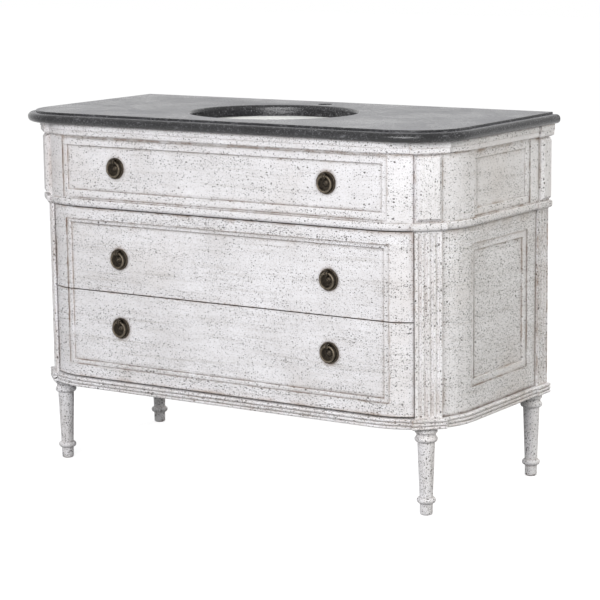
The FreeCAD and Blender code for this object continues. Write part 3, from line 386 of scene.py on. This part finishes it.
def honed_stone(looks):
    """Charcoal stone: a honed, greyer flat and a darker polished edge with pale grains and nicks."""
    recipe = Recipe("charcoal_stone")
    facing = recipe.parts_of(recipe.node("ShaderNodeNewGeometry").outputs["Normal"])
    flat = recipe.remap(facing["Z"], 0.93, 0.995)
    cloud = recipe.noise(recipe.place, 9.0, detail=6.0, rough=0.62, twist=0.6)
    edge_tone = recipe.blend(recipe.remap(cloud, 0.34, 0.68), rgba(looks.stone), rgba(looks.stone_cloud))

    # Pale grains and nicks
    grit = recipe.noise(recipe.place, 190.0, detail=5.0, rough=0.8)
    specks = recipe.times(recipe.remap(grit, 0.54, 0.66), recipe.remap(cloud, 0.38, 0.62, 0.2, 1.0))
    grains = recipe.flecks(recipe.place, 300.0, 0.36, recipe.remap(cloud, 0.3, 0.7, 0.08, 0.3))
    nicks = recipe.noise(recipe.stretched((40.0, 40.0, 160.0)), 1.0, detail=5.0, rough=0.7)
    pale = recipe.most(specks, recipe.times(grains, 0.8), recipe.times(recipe.remap(nicks, 0.58, 0.72), 0.8))
    edge_tone = recipe.blend(recipe.times(pale, 0.55), edge_tone, rgba(looks.stone_grain))

    # Honed upper face
    drift = recipe.noise(recipe.place, 6.5, detail=8.0, rough=0.66, twist=0.5)
    haze = recipe.remap(drift, 0.38, 0.64)
    flat_tone = recipe.blend(haze, rgba(looks.stone_flat), rgba(looks.stone_haze))
    flat_tone = recipe.blend(recipe.times(pale, 0.22), flat_tone, rgba(looks.stone_grain))

    tone = recipe.blend(flat, edge_tone, flat_tone)
    recipe.bump(recipe.calc("ADD", recipe.times(grit, 0.5), nicks), 0.5, 0.001)
    hazed = recipe.times(flat, recipe.remap(drift, 0.38, 0.64, 0.0, 0.16))
    rough = recipe.calc("ADD", recipe.remap(grit, 0.38, 0.66, 0.14, 0.34), hazed)
    return recipe.finish(Base_Color=tone, Roughness=rough, Specular_IOR_Level=0.5)


def glazed_ceramic(looks):
    """White glaze with a slight unevenness in colour and surface."""
    recipe = Recipe("white_glaze")
    pool = recipe.noise(recipe.place, 14.0, detail=3.0)
    tone = recipe.blend(recipe.remap(pool, 0.35, 0.65), rgba(looks.glaze), rgba(looks.glaze_pool))
    specks = recipe.flecks(recipe.place, 160.0, 0.12, 0.05)
    tone = recipe.blend(recipe.times(specks, 0.35), tone, rgba(looks.wax))
    recipe.bump(pool, 0.06, 0.002)
    return recipe.finish(Base_Color=tone, Roughness=recipe.remap(pool, 0.3, 0.7, 0.07, 0.14), Coat_Weight=0.4,
                         Coat_Roughness=0.04)


def petal_lines(recipe):
    """Fine lines between the petals round the boss of a pull plate."""
    spread = recipe.node("ShaderNodeTexCoord").outputs["Generated"]
    spot = recipe.parts_of(recipe.vector_calc("SUBTRACT", spread, (0.5, 0.5, 0.5)))
    turned = recipe.times(recipe.calc("ARCTAN2", spot["Z"], spot["X"]), PETALS / 2)
    lines = recipe.remap(recipe.calc("ABSOLUTE", recipe.calc("SINE", turned)), 0.32, 0.08)
    squares = recipe.calc("ADD", recipe.times(spot["X"], spot["X"]), recipe.times(spot["Z"], spot["Z"]))
    out = recipe.calc("SQRT", squares)
    return recipe.times(lines, recipe.remap(out, 0.06, 0.085), recipe.remap(out, 0.3, 0.26))


def aged_bronze(looks, name, handled, petals):
    """Dark patina, rubbed to warm metal where hands touch it."""
    recipe = Recipe(name)
    patina = recipe.noise(recipe.place, 180.0, detail=4.0, rough=0.6)
    tone = recipe.blend(recipe.remap(patina, 0.35, 0.68), rgba(looks.bronze), rgba(looks.bronze_brown))
    edges = recipe.times(recipe.remap(recipe.arrises(0.0018), 0.2, 0.6),
                         recipe.remap(patina, 0.3, 0.6, 0.4, 1.0))
    touched = recipe.most(edges, recipe.remap(patina, 0.32, 0.58, handled * 0.35, handled))
    tone = recipe.blend(recipe.times(touched, 0.9), tone, rgba(looks.bronze_worn))
    soot = recipe.remap(recipe.hollows(0.006), 0.35, 0.9)
    if petals:
        soot = recipe.most(soot, petal_lines(recipe))
    tone = recipe.blend(recipe.times(soot, 0.75), tone, rgba(looks.bronze_pit))
    recipe.bump(recipe.calc("SUBTRACT", patina, recipe.times(soot, 1.5)), 0.25, 0.0003)
    dull = recipe.remap(patina, 0.3, 0.7, 0.36, 0.55)
    rough = recipe.calc("SUBTRACT", dull, recipe.times(touched, 0.12))
    return recipe.finish(Base_Color=tone, Metallic=0.9, Roughness=rough)


# Carried nodes

def smooth_shading():
    """Geometry nodes that shade a carried node smoothly and keep its arrises crisp."""
    group = bpy.data.node_groups.new(SHADING, "GeometryNodeTree")
    group.interface.new_socket("Geometry", in_out="INPUT", socket_type="NodeSocketGeometry")
    group.interface.new_socket("Geometry", in_out="OUTPUT", socket_type="NodeSocketGeometry")
    nodes, links = group.nodes, group.links
    source = nodes.new("NodeGroupInput")
    result = nodes.new("NodeGroupOutput")
    weld = nodes.new("GeometryNodeMergeByDistance")
    weld.inputs["Distance"].default_value = WELD
    faces = nodes.new("GeometryNodeSetShadeSmooth")
    edges = nodes.new("GeometryNodeSetShadeSmooth")
    edges.domain = "EDGE"
    edges.inputs["Shade Smooth"].default_value = False
    angle = nodes.new("GeometryNodeInputMeshEdgeAngle")
    sharp = nodes.new("FunctionNodeCompare")
    sharp.operation = "GREATER_THAN"
    sharp.inputs["B"].default_value = math.radians(CREASE)
    links.new(source.outputs[0], weld.inputs["Geometry"])
    links.new(weld.outputs["Geometry"], faces.inputs["Geometry"])
    links.new(faces.outputs["Geometry"], edges.inputs["Geometry"])
    links.new(angle.outputs["Unsigned Angle"], sharp.inputs["A"])
    links.new(sharp.outputs["Result"], edges.inputs["Selection"])
    links.new(edges.outputs["Geometry"], result.inputs[0])
    return group


def finish_node(node, material):
    """Gives a carried node its finish and smooth shading."""
    carried = NODES[node]
    carried.data.materials.clear()
    carried.data.materials.append(material)
    shading = carried.modifiers.new("shading", "NODES")
    shading.node_group = bpy.data.node_groups.get(SHADING) or smooth_shading()


# Settings

def tint(name, description, default):
    return FloatVectorProperty(name=name, description=description, default=default, subtype="COLOR",
                               size=3, min=0.0, max=1.0)


def length(name, description, default):
    return FloatProperty(name=name, description=description, default=default, unit="LENGTH", min=0.0)


def power(name, description, default):
    return FloatProperty(name=name, description=description, default=default, unit="POWER", min=0.0)


class VanityFinishes(bpy.types.PropertyGroup):
    """Colours and wear of the finishes"""

    paint: tint("Paint", "Sound paint", (0.93, 0.92, 0.94))
    paint_shade: tint("Thin paint", "Paint where it is thin", (0.80, 0.785, 0.795))
    stain: tint("Stain", "Warm stain in broad patches", (0.74, 0.67, 0.62))
    streak: tint("Brush drag", "Glaze caught in the brush marks", (0.52, 0.49, 0.46))
    chip: tint("Chips", "Dark ground in the chips", (0.04, 0.034, 0.03))
    ground: tint("Ground", "Brown ground on rubbed edges", (0.33, 0.23, 0.16))
    # Dark brown of the wax; it also paints shade in quirks, joints, gaps and corners, and colours the specks
    # in the glaze
    wax: tint("Wax", "Dark wax in quirks and joints", (0.105, 0.075, 0.055))
    chip_share: FloatProperty(name="Chips share", description="How much of the paint is chipped", default=1.0,
                              min=0.0, max=2.0, subtype="FACTOR")
    wood: tint("Bare wood", "Planed wood", (0.50, 0.36, 0.23))
    wood_deep: tint("Bare wood, dark", "Darker bands of the wood", (0.38, 0.26, 0.15))
    stone: tint("Stone", "Body of the stone", (0.004, 0.004, 0.005))
    stone_cloud: tint("Stone clouds", "Lighter clouds in the stone", (0.016, 0.016, 0.019))
    stone_flat: tint("Stone flat", "Honed upper face", (0.072, 0.072, 0.084))
    stone_haze: tint("Stone haze", "Paler drifts on the upper face", (0.14, 0.14, 0.156))
    stone_grain: tint("Stone grains", "Pale grains in the stone", (0.36, 0.36, 0.38))
    glaze: tint("Glaze", "Ceramic glaze", (0.86, 0.86, 0.84))
    glaze_pool: tint("Glaze, thick", "Glaze where it pools", (0.80, 0.81, 0.79))
    bronze: tint("Bronze", "Dark patina", (0.014, 0.011, 0.009))
    bronze_brown: tint("Bronze, brown", "Brown patina", (0.036, 0.027, 0.019))
    bronze_worn: tint("Bronze, rubbed", "Bare metal on handled edges", (0.58, 0.49, 0.37))
    bronze_pit: tint("Bronze, deep", "Soot in the hollows", (0.012, 0.010, 0.008))


class VanityStage(bpy.types.PropertyGroup):
    """Floor, light and camera"""

    floor_colour: tint("Floor", "Floor as it lights the piece", (0.11, 0.11, 0.11))
    floor_seen: tint("Floor, seen", "Share of the floor that takes shadow", (0.45, 0.45, 0.45))
    floor_glow: FloatProperty(name="Floor white", description="White added where the floor is seen",
                              default=0.83, min=0.0, max=1.0)
    floor_size: length("Floor size", "Side of the square floor", 40.0)
    ambient: FloatProperty(name="Ambient", description="Even light from all round", default=0.42, min=0.0)
    key_power: power("Key lamp", "Large soft lamp in front", 97.0)
    side_power: power("Side lamp", "Soft lamp on the right", 54.0)
    back_power: power("Back lamp", "Weak soft lamp behind", 45.0)
    lens: FloatProperty(name="Lens", description="Focal length on a 36 mm frame", default=132.653, min=1.0)


class VanitySettings(bpy.types.PropertyGroup):
    """All that a user may change on the vanity unit"""

    finishes: PointerProperty(type=VanityFinishes)
    stage: PointerProperty(type=VanityStage)


def settings():
    return bpy.context.scene.vanity


# Finishing the pieces

class VANITY_OT_paint_body(bpy.types.Operator):
    """Paint the body, the fronts and the legs"""

    bl_idname = "vanity.paint_body"
    bl_label = "Paint Body"

    def execute(self, context):
        looks = settings().finishes
        fronts = distressed_paint(looks, "paint_on_fronts", FRONTS)
        sides = distressed_paint(looks, "paint_on_sides", SIDES, on_side=True)
        mouldings = distressed_paint(looks, "paint_on_mouldings", MOULDINGS)
        turnings = distressed_paint(looks, "paint_on_turnings", TURNINGS)
        for node in slot_nodes("painted_wood"):
            if "post" in node or "leg" in node:
                finish_node(node, turnings)
            elif "cornice" in node or "base" in node or "bead" in node:
                finish_node(node, mouldings)
            elif "side_board" in node:
                finish_node(node, sides)
            else:
                finish_node(node, fronts)
        return {"FINISHED"}


class VANITY_OT_finish_bare_wood(bpy.types.Operator):
    """Finish the drawer boxes, runners, rails and back"""

    bl_idname = "vanity.finish_bare_wood"
    bl_label = "Finish Bare Wood"

    def execute(self, context):
        looks = settings().finishes
        across = bare_wood(looks, "wood_grain_across", GRAIN_ACROSS)
        deep = bare_wood(looks, "wood_grain_deep", GRAIN_DEEP)
        for node in slot_nodes("bare_wood"):
            runs_deep = "side" in node or "runner" in node or node.endswith(("notch_left", "notch_right"))
            finish_node(node, deep if runs_deep else across)
        return {"FINISHED"}


class VANITY_OT_finish_stone(bpy.types.Operator):
    """Finish the stone top"""

    bl_idname = "vanity.finish_stone"
    bl_label = "Finish Stone Top"

    def execute(self, context):
        material = honed_stone(settings().finishes)
        for node in slot_nodes("stone"):
            finish_node(node, material)
        return {"FINISHED"}


class VANITY_OT_glaze_basin(bpy.types.Operator):
    """Glaze the basin"""

    bl_idname = "vanity.glaze_basin"
    bl_label = "Glaze Basin"

    def execute(self, context):
        material = glazed_ceramic(settings().finishes)
        for node in slot_nodes("ceramic"):
            finish_node(node, material)
        return {"FINISHED"}


class VANITY_OT_finish_pulls(bpy.types.Operator):
    """Give the pulls their aged bronze"""

    bl_idname = "vanity.finish_pulls"
    bl_label = "Finish Pulls"

    def execute(self, context):
        looks = settings().finishes
        plates = aged_bronze(looks, "bronze_plates", PLATES_RUBBED, petals=True)
        rings = aged_bronze(looks, "bronze_rings", RINGS_RUBBED, petals=False)
        for node in slot_nodes("bronze"):
            finish_node(node, rings if "ring" in node else plates)
        return {"FINISHED"}


# Stage

def seen_rays(tree):
    """1 for rays that show the background: camera, mirror and glass rays."""
    path = tree.nodes.new("ShaderNodeLightPath")
    total = path.outputs["Is Camera Ray"]
    for ray in ("Is Glossy Ray", "Is Transmission Ray"):
        either = tree.nodes.new("ShaderNodeMath")
        either.operation = "MAXIMUM"
        tree.links.new(total, either.inputs[0])
        tree.links.new(path.outputs[ray], either.inputs[1])
        total = either.outputs["Value"]
    return total


def floor_material(stage):
    """Pale floor that shows white and still takes the shadow."""
    material = bpy.data.materials.new("pale_floor")
    material.use_nodes = True
    tree = material.node_tree
    tree.nodes.clear()
    seen = seen_rays(tree)
    tone = tree.nodes.new("ShaderNodeMix")
    tone.data_type = "RGBA"
    tree.links.new(seen, tone.inputs["Factor"])
    tone.inputs[6].default_value = rgba(stage.floor_colour)
    tone.inputs[7].default_value = rgba(stage.floor_seen)
    matt = tree.nodes.new("ShaderNodeBsdfDiffuse")
    tree.links.new(tone.outputs[2], matt.inputs["Color"])
    glow = tree.nodes.new("ShaderNodeEmission")
    level = tree.nodes.new("ShaderNodeMath")
    level.operation = "MULTIPLY"
    level.inputs[1].default_value = stage.floor_glow
    tree.links.new(seen, level.inputs[0])
    tree.links.new(level.outputs["Value"], glow.inputs["Strength"])
    both = tree.nodes.new("ShaderNodeAddShader")
    tree.links.new(matt.outputs["BSDF"], both.inputs[0])
    tree.links.new(glow.outputs["Emission"], both.inputs[1])
    out = tree.nodes.new("ShaderNodeOutputMaterial")
    tree.links.new(both.outputs["Shader"], out.inputs["Surface"])
    return material


def lay_floor(stage):
    half = stage.floor_size / 2
    corners = [(-half, -half, 0.0), (half, -half, 0.0), (half, half, 0.0), (-half, half, 0.0)]
    mesh = bpy.data.meshes.new("floor")
    mesh.from_pydata(corners, [], [(0, 1, 2, 3)])
    mesh.materials.append(floor_material(stage))
    floor = bpy.data.objects.new("floor", mesh)
    bpy.context.scene.collection.objects.link(floor)


def studio_world(stage):
    """White where it is seen, even soft light elsewhere."""
    world = bpy.data.worlds.new("studio")
    world.use_nodes = True
    tree = world.node_tree
    back = tree.nodes["Background"]
    seen = seen_rays(tree)
    level = tree.nodes.new("ShaderNodeMapRange")
    tree.links.new(seen, level.inputs["Value"])
    level.inputs["To Min"].default_value = stage.ambient
    level.inputs["To Max"].default_value = 1.0
    back.inputs["Color"].default_value = (1.0, 1.0, 1.0, 1.0)
    tree.links.new(level.outputs["Result"], back.inputs["Strength"])
    return world


def soft_lamp(lamp, watts):
    """A square-edged soft lamp that faces its target."""
    light = bpy.data.lights.new(lamp.name, "AREA")
    light.shape = "RECTANGLE"
    light.size, light.size_y = lamp.size
    light.energy = watts
    light.color = lamp.colour
    holder = bpy.data.objects.new(lamp.name, light)
    holder.location = lamp.place
    holder.visible_glossy = lamp.mirrored
    holder.rotation_euler = (Vector(lamp.target) - Vector(lamp.place)).to_track_quat("-Z", "Y").to_euler()
    bpy.context.scene.collection.objects.link(holder)


def photo_camera(stage):
    """Camera at the viewing angle of the photograph."""
    yaw, pitch, roll = (math.radians(angle) for angle in (CAMERA_YAW, CAMERA_PITCH, CAMERA_ROLL))
    forward = Vector((-math.sin(yaw) * math.cos(pitch), math.cos(yaw) * math.cos(pitch), -math.sin(pitch)))
    right = Vector((math.cos(yaw), math.sin(yaw), 0.0))
    up = right.cross(forward)
    level_x = right * math.cos(roll) + up * math.sin(roll)
    level_y = up * math.cos(roll) - right * math.sin(roll)
    lens = bpy.data.cameras.new("camera")
    lens.sensor_width = CAMERA_SENSOR
    lens.lens = stage.lens
    lens.clip_end = CAMERA_FAR
    camera = bpy.data.objects.new("camera", lens)
    turned = Matrix((level_x, level_y, -forward)).transposed().to_4x4()
    camera.matrix_world = Matrix.Translation(CAMERA_PLACE) @ turned
    return camera


class VANITY_OT_set_stage(bpy.types.Operator):
    """Lay the floor, set the lamps and place the camera"""

    bl_idname = "vanity.set_stage"
    bl_label = "Set Stage"

    def execute(self, context):
        stage = settings().stage
        scene = context.scene
        scene.view_settings.view_transform = "Standard"
        scene.world = studio_world(stage)
        lay_floor(stage)
        soft_lamp(KEY_LAMP, stage.key_power)
        soft_lamp(SIDE_LAMP, stage.side_power)
        soft_lamp(BACK_LAMP, stage.back_power)
        scene.camera = photo_camera(stage)
        scene.collection.objects.link(scene.camera)
        return {"FINISHED"}


# Sidebar and registration

class VANITY_PT_sidebar(bpy.types.Panel):
    """Pieces and finishes of the vanity unit"""

    bl_label = "Vanity Unit"
    bl_idname = "VANITY_PT_sidebar"
    bl_space_type = "VIEW_3D"
    bl_region_type = "UI"
    bl_category = "Vanity"

    def draw(self, context):
        for operator in OPERATORS:
            self.layout.operator(operator.bl_idname)
        for group in (context.scene.vanity.finishes, context.scene.vanity.stage):
            column = self.layout.column()
            for name in group.__annotations__:
                column.prop(group, name)


OPERATORS = (
    VANITY_OT_paint_body,
    VANITY_OT_finish_bare_wood,
    VANITY_OT_finish_stone,
    VANITY_OT_glaze_basin,
    VANITY_OT_finish_pulls,
    VANITY_OT_set_stage,
)
CLASSES = (VanityFinishes, VanityStage, VanitySettings) + OPERATORS + (VANITY_PT_sidebar,)


def register():
    for part in CLASSES:
        bpy.utils.register_class(part)
    bpy.types.Scene.vanity = PointerProperty(type=VanitySettings)


def unregister():
    del bpy.types.Scene.vanity
    for part in reversed(CLASSES):
        bpy.utils.unregister_class(part)


def main():
    register()
    bpy.ops.vanity.paint_body()
    bpy.ops.vanity.finish_bare_wood()
    bpy.ops.vanity.finish_stone()
    bpy.ops.vanity.glaze_basin()
    bpy.ops.vanity.finish_pulls()
    bpy.ops.vanity.set_stage()


if __name__ == "__main__":
    main()
